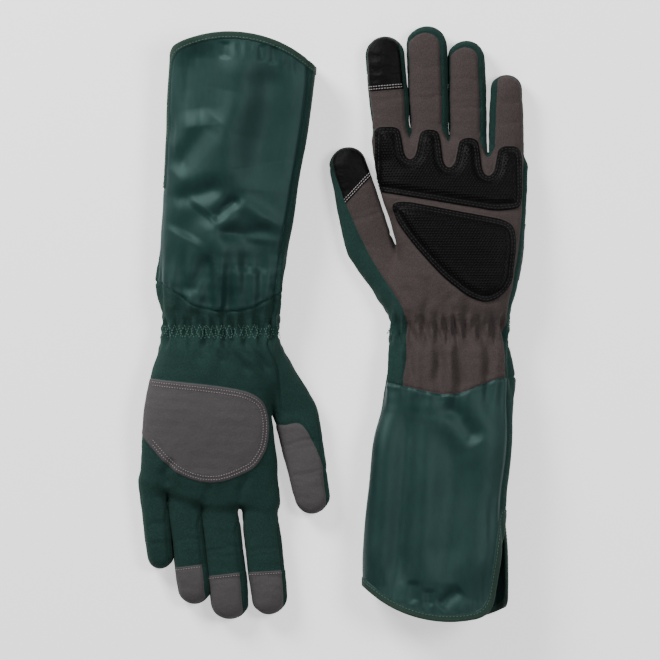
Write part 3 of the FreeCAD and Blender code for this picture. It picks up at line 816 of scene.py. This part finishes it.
    def hand_relief(self, p, n):
        y, side = p[:, 1], self.height(p)
        facing = step01(np.abs(n[:, 2]), 0.15, 0.6)
        out = np.zeros(len(p))
        upper = step01(p[:, 2] - self.section(y)[2] / 2, 0, 6)
        for wide, deep, *points in self.d["folds"]:
            d, t = line_distance(p, points)
            fade = step01(t, -0.05, 0.22) * step01(1 - t, -0.05, 0.22)
            if points[0][1] < -40:
                wide, deep = 1.7 * wide, 1.35 * deep
            out -= 1.3 * deep * fade * upper * (bell(d, wide) - 0.12 * bell(d - 2.0 * wide, wide))
        # gathers of the wrist
        x = p[:, 0]
        band = bell(y - 2, 9)
        pleat = np.sin(2 * np.pi * x / 8.2 + 1.5 * np.sin(x / 7.0) + 1.1 * np.sin(y / 5.5))
        fine = np.sin(2 * np.pi * x / 4.4 + 1.3 * np.sin(x / 5.0) - 0.12 * y)
        out += band * (2.0 * pleat + 0.5 * fine + 0.9 * ripple(p * (1, 0.45, 1), 9, 11) - 1.6) * facing
        out += bell(y - 1, 15) * (1 - facing) * (1.5 * ripple(p * (0.3, 1, 0.6), 9, 14) - 0.6)
        loose = step01(-y, 6, 16) * step01(y, -62, -34)
        out += loose * 2.3 * ripple(p * (1, 0.22, 1), 12, 12)
        above = step01(y, 7, 14) * step01(-y, -46, -16)
        out += above * 1.5 * ripple(p * (1, 0.3, 0.6), 13, 13)
        # the gauntlet's own slack
        cuff = step01(-y, 46, 74)
        out += cuff * (0.9 * ripple(p * (1, 0.5, 0.8), 60, 21) + 0.35 * ripple(p * (1, 0.6, 1), 30, 22))
        palm, nylon = self.palm(p), self.nylon(p)
        hand = step01(-nylon, -3, 3)
        out += seam(palm, 0.6, 0.3) * step01(-nylon, -1, 2) * step01(side, -1, 2)
        out += seam(nylon, 0.9, 0.15)
        gather = bell(nylon - 4, 4)
        out += gather * (0.12 if self.up > 0 else 0.3) * ripple(p * (1, 0.3, 0.3), 5.5, 32)
        out += seam(self.thumb_seam(p), 1.0, 0.35) * step01(-side, 0, 3) * hand * step01(112 - y, 0, 10)
        cuffs = step01(nylon, 0, 3)
        out += sum(seam(strip(p), 0.7, 0.35) * cuffs for strip in (self.strip_out, self.strip_in))
        edge = self.keep(p)
        out += cuffs * (0.75 * step01(4.4 - edge, 0.0, 0.8) - 0.3 * bell(edge - 2.9, 0.5)
                        + 0.55 * bell(edge - 9, 6) * ripple(p * (1, 0.2, 0.2), 9, 41))
        # raised pieces
        patch = self.patch(p)
        out += 0.85 * step01(patch, 0, 0.9) - 0.1 * bell(patch - 2.3, 0.7) - 0.1 * bell(patch - 4.6, 0.7)
        for f in (self.knuckle(p), self.heel(p)):
            out += (1.0 * step01(f, 0, 0.9) + 1.9 * step01(f, 4.3, 8.5) - 0.3 * bell(f - 1.7, 0.5)
                    - 0.3 * bell(f - 3.5, 0.5) - 0.25 * bell(f - 4.6, 0.7) - 0.35 * bell(f + 0.9, 1.2))
            if self.up < 0:
                out -= 3.1 * step01(f, -5, 3) * facing
        if self.up > 0:
            out -= 0.9 * step01(patch, -4, 2) * facing
        return out

    def digit_relief(self, name, p):
        u, s, inside, round_end = self.margin(name, p)
        out = np.zeros(len(p))
        long = self.digits[name][5]
        grip = step01(self.height_of_digit(p), -1, 3)
        seam_in = step01(s, 0, 6)
        out += seam(self.front(name, p), 0.6, 0.3) * seam_in
        out += seam(self.back(name, p), 0.45, 0.2) * seam_in
        for where, deep in ((0.30, 0.5), (0.36, 0.25), (0.60, 0.45), (0.65, 0.25)):
            bend = s - where * long - 0.03 * u * u / 4 + 1.2 * ripple(p, 17, 51)
            out -= deep * bell(bend, 1.7) * (0.35 + 0.65 * step01(inside, 1, 6))
        if name in TOUCH:
            past = self.tip_line(name, p, TOUCH)
            raised = 0.45 * step01(np.minimum(past, self.front(name, p) + 0.4), 0, 0.8)
            out += grip * (raised - 0.22 * bell(past - 1.5, 0.5) - 0.22 * bell(past - 3.4, 0.5))
        if name in CAP:
            past = self.tip_line(name, p, CAP)
            out += (1 - grip) * (0.4 * step01(past, 0, 0.8) - 0.2 * bell(past - 1.8, 0.5))
        if name == "thumb":
            out += seam(self.thumb_back(p), 0.5, 0.2) * (1 - grip)
        return out * step01(s, 0.2, 3.5)

    def apply(self, mesh, name=None):
        """Moves the mesh along its normals and works out the new ones."""
        p, n = mesh.p0, unit(mesh.n0)
        move = self.base(p)
        if name:
            move = move + self.digit_relief(name, p)
        else:
            root = np.full(len(p), -1e9)
            for digit, (x, _, _, wide, _, _) in self.digits.items():
                u, s, _ = self.frame(digit, p)
                near = (np.abs(p[:, 0] - x) < 40) & (p[:, 1] > 30) & (np.abs(u) < wide / 2 + 2)
                root = np.where(near, np.maximum(root, s), root)
            move = move + self.hand_relief(p, n) * step01(-root, 0.1, 1.5)
        q = p + n * move[:, None]
        q[:, 2] = np.maximum(q[:, 2], 0.06)
        mesh.v["p"], mesh.v["n"] = q, normals(q, mesh.t)
        return mesh


# ---- materials
def put(node, values):
    """Constant values on a node's own sockets."""
    for name, value in values.items():
        node.inputs[name].default_value = value
    return node


class Paint:
    """A node material whose textures hang on the stored rest position of the cloth, in millimetres."""

    def __init__(self, name, colour, rough, specular):
        self.m = bpy.data.materials.new(name)
        self.m.use_nodes = True
        self.tree = self.m.node_tree
        self.s = self.tree.nodes["Principled BSDF"]
        self.colour = colour
        put(self.s, {"Base Color": (*colour, 1), "Roughness": rough, "Specular IOR Level": specular})
        self.rest = self.node("ShaderNodeAttribute", attribute_name="rest")
        self.bumps = None

    def node(self, kind, **settings):
        n = self.tree.nodes.new(kind)
        for key, value in settings.items():
            setattr(n, key, value)
        return n

    def link(self, a, b):
        self.tree.links.new(a, b)

    def texture(self, node, values, scale):
        """A texture with its repeats per millimetre along each axis."""
        put(node, {"Scale": 1.0, **values})
        m = put(self.node("ShaderNodeMapping"), {"Scale": scale})
        self.link(self.rest.outputs["Vector"], m.inputs["Vector"])
        self.link(m.outputs["Vector"], node.inputs["Vector"])
        return node.outputs["Fac"]

    def noise(self, scale, detail=3.0, rough=0.6):
        scale = scale if isinstance(scale, tuple) else (scale,) * 3
        return self.texture(self.node("ShaderNodeTexNoise"), {"Detail": detail, "Roughness": rough}, scale)

    def wave(self, scale, direction):
        scale = (scale, 0.02, 0.02) if direction == "X" else (0.02, scale, 0.02)
        n = self.node("ShaderNodeTexWave", wave_type="BANDS", bands_direction=direction)
        return self.texture(n, {"Distortion": 0.6, "Detail": 1.0, "Detail Scale": 1.5}, scale)

    def bump(self, height, strength, distance):
        b = put(self.node("ShaderNodeBump"), {"Strength": strength, "Distance": distance})
        self.link(height, b.inputs["Height"])
        if self.bumps:
            self.link(self.bumps, b.inputs["Normal"])
        self.bumps = b.outputs["Normal"]
        self.link(self.bumps, self.s.inputs["Normal"])

    def tint(self, fac, low, high, spread=(0.3, 0.7)):
        """Base colour between two multiples of the colour."""
        r = self.node("ShaderNodeValToRGB")
        for e, position, k in zip(r.color_ramp.elements, spread, (low, high)):
            e.position = position
            e.color = (*[c * k for c in self.colour], 1)
        self.link(fac, r.inputs["Fac"])
        self.link(r.outputs["Color"], self.s.inputs["Base Color"])

    def sheen(self, weight, rough, tint):
        put(self.s, {"Sheen Weight": weight, "Sheen Roughness": rough, "Sheen Tint": (*tint, 1)})


def knit_paint(name, colour):
    m = Paint(name, colour, 0.9, 0.134)
    m.sheen(0.025, 0.5, (0.6, 0.9, 0.75))
    m.tint(m.noise(0.9, 4.0, 0.7), 0.7, 1.35)
    m.bump(m.wave(0.62, "X"), 0.5, 0.0003)
    m.bump(m.wave(1.0, "Y"), 0.25, 0.0002)
    m.bump(m.noise(2.4, 2.0), 0.3, 0.00025)
    return m.m


def suede_paint(name, colour, mottle=(0.72, 1.3)):
    m = Paint(name, colour, 0.97, 0.0835)
    m.sheen(0.0334, 0.5, (0.9, 0.8, 0.78))
    m.tint(m.noise(1.1, 5.0, 0.8), *mottle, spread=(0.35, 0.65))
    m.bump(m.noise(1.7, 4.0, 0.7), 0.5, 0.0004)
    m.bump(m.noise(0.16, 2.0), 0.35, 0.0016)
    return m.m


def nylon_paint(name, colour):
    m = Paint(name, colour, 0.54, 0.334)
    m.sheen(0.0334, 0.3, (0.5, 1.0, 0.9))
    put(m.s, {"Specular Tint": (0.65, 1.0, 0.93, 1)})
    m.tint(m.noise((0.25, 0.12, 0.25)), 0.88, 1.14)
    m.bump(m.wave(1.1, "X"), 0.1, 0.0002)
    m.bump(m.wave(1.1, "Y"), 0.1, 0.0002)
    return m.m


def grip_paint(name, colour):
    m = Paint(name, colour, 0.5, 0.0751)
    m.tint(m.noise(0.6), 0.8, 1.3)
    m.bump(m.noise(2.6), 0.3, 0.0002)
    return m.m


def touch_paint(name, colour):
    m = Paint(name, colour, 0.55, 0.0751)
    m.tint(m.noise(0.5), 0.85, 1.25)
    m.bump(m.noise(1.5, 4.0), 0.2, 0.0002)
    m.bump(m.noise(0.15, 2.0), 0.5, 0.002)
    return m.m


def tape_paint(name, colour):
    m = Paint(name, colour, 0.8, 0.251)
    m.sheen(0.0835, 0.4, (0.7, 0.95, 0.85))
    m.tint(m.noise(0.9), 0.85, 1.2)
    m.bump(m.noise(2.2, 2.0), 0.35, 0.0002)
    return m.m


def thread_paint(name, colour):
    m = Paint(name, colour, 0.7, 0.334)
    m.bump(m.noise(4.0, 1.0), 0.2, 0.0001)
    return m.m


PAINTS = {
    "knit": (knit_paint, (0.0104, 0.0312, 0.0264)),
    # the knit's colour darkened as painted shade, for the fourchettes that face sideways between the fingers
    "side_knit": (knit_paint, (0.0080, 0.0250, 0.0210)),
    "suede": (suede_paint, (0.0459, 0.0364, 0.0354)),
    "grey_suede": (suede_paint, (0.0635, 0.0593, 0.0618), (0.85, 1.14)),
    "nylon": (nylon_paint, (0.0047, 0.0204, 0.0189)),
    "grip": (grip_paint, (0.0025, 0.0022, 0.0023)),
    "touch": (touch_paint, (0.0027, 0.0023, 0.0025)),
    "binding": (tape_paint, (0.0125, 0.0309, 0.0225)),
    "elastic": (tape_paint, (0.0067, 0.0184, 0.0150)),
    "thread_light": (thread_paint, (0.2839, 0.2588, 0.2588)),
    "thread_grey": (thread_paint, (0.2087, 0.1753, 0.1804)),
    "thread_dark": (thread_paint, (0.0100, 0.0100, 0.0100)),
    "thread_green": (thread_paint, (0.0468, 0.1102, 0.0919)),
}
MATS = {name: make(name, *rest) for name, (make, *rest) in PAINTS.items()}


def build(glove, name, mesh, paint, bend=None, *replaces):
    """A visible piece, in place of the CAD nodes that it replaces.  It rides on the hand, or with
    bend = (body, start, end) given it stays where it is and rides on nothing."""
    if mesh is None or not len(mesh.t):
        return None
    tag = glove.side + "_"
    me = bpy.data.meshes.new(tag + name + "_cloth")
    above = np.maximum(mesh.p, (-1e9, -1e9, 0.02))
    me.from_pydata((glove.place(above) / 1000).tolist(), [], mesh.t.tolist())
    me.shade_smooth()
    me.normals_split_custom_set_from_vertices(glove.turn(mesh.n).tolist())
    rest = me.attributes.new("rest", "FLOAT_VECTOR", "POINT")
    rest.data.foreach_set("vector", np.ascontiguousarray(mesh.p0, dtype=np.float32).ravel())
    o = bpy.data.objects.new(me.name, me)
    bpy.context.scene.collection.objects.link(o)
    me.materials.append(MATS[paint])
    if bend:
        start, end = (tuple(glove.place(np.array([q], float))[0] / 1000) for q in bend[1:])
        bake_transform(o)
    else:
        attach(o, tag + "hand")
    if replaces:
        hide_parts(*[tag + r for r in replaces])
    return o


def embossed(pad, field, rounds):
    """The pad with its raised dots."""
    for _ in range(rounds):
        pad = finer(pad)
        pad.v["n"] = unit(pad.n)
    f = field(pad.p0)
    h, dx, dy = dots(pad.p0[:, 0], pad.p0[:, 1])
    k = 0.42 * step01(f, 4.9, 5.9)
    pad.v["p"] = pad.p + pad.n * (k * h)[:, None]
    pad.v["n"] = unit(pad.n - np.stack([k * dx, k * dy, np.zeros(len(k))], 1))
    return pad


# Flat size of the nylon panels without seam allowance, in metres and square metres: widest share of
# the smooth tube's girth, length along it, and area.  Both gloves have the mean of the two tubes.
PANEL_CUT = {"gauntlet_palm": (0.104, 0.171, 0.0158), "gauntlet_back": (0.107, 0.173, 0.0171)}

# ---- the two gloves
for side in GLOVES:
    glove = Pattern(side)
    tube = skin(glove.hand, (-92, -226, -2), (66, 160, 48))
    tube = score_lines(tube, (glove.palm, glove.nylon, glove.patch, glove.knuckle, glove.heel,
                              glove.strip_out, glove.strip_in, glove.thumb_seam))
    tube = glove.apply(score_lines(tube, (glove.keep,), (3.6, 4.4)))
    hand, _ = split(tube, glove.short_of_fingers)
    hand, _ = split(hand, glove.thumb_side)
    hand, cuff = split(hand, lambda p: p[:, 1] - WRIST_CUT)

    # the hand
    dark = []
    knuckle, hand = split(hand, glove.knuckle)
    heel, hand = split(hand, glove.heel)
    for label, pad, field, foam in (("knuckle_pad", knuckle, glove.knuckle, ()),
                                    ("heel_pad", heel, glove.heel, ("pad_foam",))):
        dark += stitches(pad, field, (1.7, 3.5), "pad")
        pad = embossed(pad, field, 2 if glove.up > 0 else 1)
        o = build(glove, label, pad, "grip", None, label, *foam)
    patch, hand = split(hand, glove.patch)
    grey = stitches(patch, glove.patch, (2.3, 4.6), "patch", lambda p: 49 - p[:, 0])
    build(glove, "back_patch", patch, "grey_suede", None, "back_patch")
    palm, rest = split(hand, glove.palm)
    build(glove, "palm", palm, "suede", None, "palm_panel")
    gusset, back = split(rest, glove.thumb_seam)
    build(glove, "thumb_root", gusset, "knit", None, "thumb_gusset")
    build(glove, "back", back, "knit", None, "back_panel")

    # the wrist and the gauntlet
    bend = ("gauntlet", (0, WRIST_CUT, 18), (0, -55, 18))
    band = cuff.take((np.abs(cuff.p0[cuff.t][:, :, 1]) < 9).all(1))
    band.v["p"] = band.p - band.n * 1.7
    build(glove, "wrist_elastic", thicken(band, 0.7), "elastic", bend, "wrist_elastic")
    cuff, _ = split(cuff, glove.keep)
    trim, cuff = split(cuff, lambda p: BINDING - glove.keep(p))
    green = stitches(trim, glove.keep, (2.9,), "cuff")
    build(glove, "hem_binding", thicken(trim, 2.0, 1.0), "binding", bend, "hem_binding")
    nylon, tail = split(cuff, glove.nylon)
    suede, knit = split(tail, glove.palm)
    build(glove, "palm_tail", thicken(suede, CLOTH), "suede", bend)
    build(glove, "back_tail", thicken(knit, CLOTH), "knit", bend)
    strip_out, nylon = split(nylon, glove.strip_out)
    strip_in, nylon = split(nylon, glove.strip_in)
    build(glove, "gauntlet_strips", thicken(joined((strip_out, strip_in)), CLOTH), "knit", bend)
    for (label, (wide, long, area)), part in zip(PANEL_CUT.items(), split(nylon, glove.height)):
        o = build(glove, label, thicken(part, CLOTH), "nylon", bend, label)
    build(glove, "cuff_stitching", joined(green), "thread_green", bend)
    rows = trace(tail, tail.p0[:, 1] - 3.4)
    on_back = lambda p: -glove.height(p) - 3
    green = [stitch_row(zigzag(rows, shift), "zigzag", on_back) for shift in (0.0, 0.5)]
    build(glove, "wrist_stitching", joined(green), "thread_green", bend)
    build(glove, "stitching_dark", joined(dark), "thread_dark")
    build(glove, "stitching_grey", joined(grey), "thread_grey")

    # the digits
    for name, (x, y, lean, _, _, long) in glove.digits.items():
        d = np.array([-math.sin(math.radians(lean)), math.cos(math.radians(lean))])
        ends = np.array([[x, y], [x, y] + d * long])
        low, high = ends.min(0) - 24, ends.max(0) + 24
        m = skin(lambda p: glove.finger(name, p), (*low, -2), (*high, 24))
        near = glove.digit(name, m.p0) < 2.0
        m = m.take(near[m.t].all(1))
        along = lambda p: glove.frame(name, p)[1]
        front_of, back_of = lambda p: glove.front(name, p), lambda p: glove.back(name, p)
        touch_of, cap_of = (lambda p, t=t: glove.tip_line(name, p, t) for t in (TOUCH, CAP))
        fields = [front_of, back_of]
        for table, line in ((TOUCH, touch_of), (CAP, cap_of), (("thumb",), glove.thumb_back)):
            if name in table:
                fields.append(line)
        m, _ = split(glove.apply(score_lines(m, fields), name), along)
        bend = (name, (x, y, KNUCKLE_Z), (*(np.array([x, y]) + d * 17), KNUCKLE_Z))
        front, m = split(m, front_of)
        back, strip = split(m, back_of)
        light, grey = [], []
        if name in TOUCH:
            tip, front = split(front, touch_of)
            light = stitches(tip, touch_of, (1.5, 3.4), "touch")
            build(glove, name + "_touch_tip", tip, "touch", bend, name + "_touch_tip")
        build(glove, name + "_front", front, "suede", bend, name + "_front")
        if name in CAP:
            cap, back = split(back, cap_of)
            grey = stitches(cap, cap_of, (1.8,), "cap")
            build(glove, name + "_tip_cap", cap, "grey_suede", bend, name + "_tip_cap")
        if name == "thumb":
            hide, back = split(back, glove.thumb_back)
            build(glove, "thumb_back", hide, "grey_suede", bend, "thumb_back")
            build(glove, "thumb_strip", joined((back, strip)), "knit", bend)
        else:
            build(glove, name + "_back", back, "knit", bend, name + "_back")
            # the fourchettes get the knit darkened as painted shade
            build(glove, name + "_fourchette", strip, "side_knit", bend, name + "_fourchette")
        build(glove, name + "_stitching", joined(light), "thread_light", bend)
        build(glove, name + "_cap_stitching", joined(grey), "thread_grey", bend)

# ---- stage, light and camera
bpy.ops.mesh.primitive_plane_add(size=6, location=(0, 0, -0.0005))
floor = bpy.context.object
floor.name = "floor"
floor_mat = bpy.data.materials.new("floor")
floor_mat.use_nodes = True
put(floor_mat.node_tree.nodes["Principled BSDF"],
    {"Base Color": (0.9, 0.9, 0.9, 1), "Emission Color": (1, 1, 1, 1), "Emission Strength": 0.8})
floor.data.materials.append(floor_mat)

world = bpy.data.worlds.new("studio")
bpy.context.scene.world = world
world.use_nodes = True
put(world.node_tree.nodes["Background"], {"Color": (1, 1, 1, 1), "Strength": 0.18})


def lamp(name, at, size, power):
    data = bpy.data.lights.new(name, "AREA")
    data.size, data.energy = size, power
    o = bpy.data.objects.new(name, data)
    bpy.context.scene.collection.objects.link(o)
    o.location = at
    o.rotation_euler = Vector(at).to_track_quat("Z", "Y").to_euler()


lamp("key", (-0.9, 1.05, 0.85), 0.6, 37)
lamp("side", (0.95, 0.3, 1.5), 0.6, 19)
lamp("fill", (0.1, -1.6, 1.1), 1.2, 5)

camera = bpy.data.cameras.new("camera")
camera.lens, camera.sensor_width = 500, 36
view = bpy.data.objects.new("camera", camera)
bpy.context.scene.collection.objects.link(view)
view.location = (-0.0025, -0.0052, 0.4752 * 500 / 36 + 0.012)
bpy.context.scene.camera = view
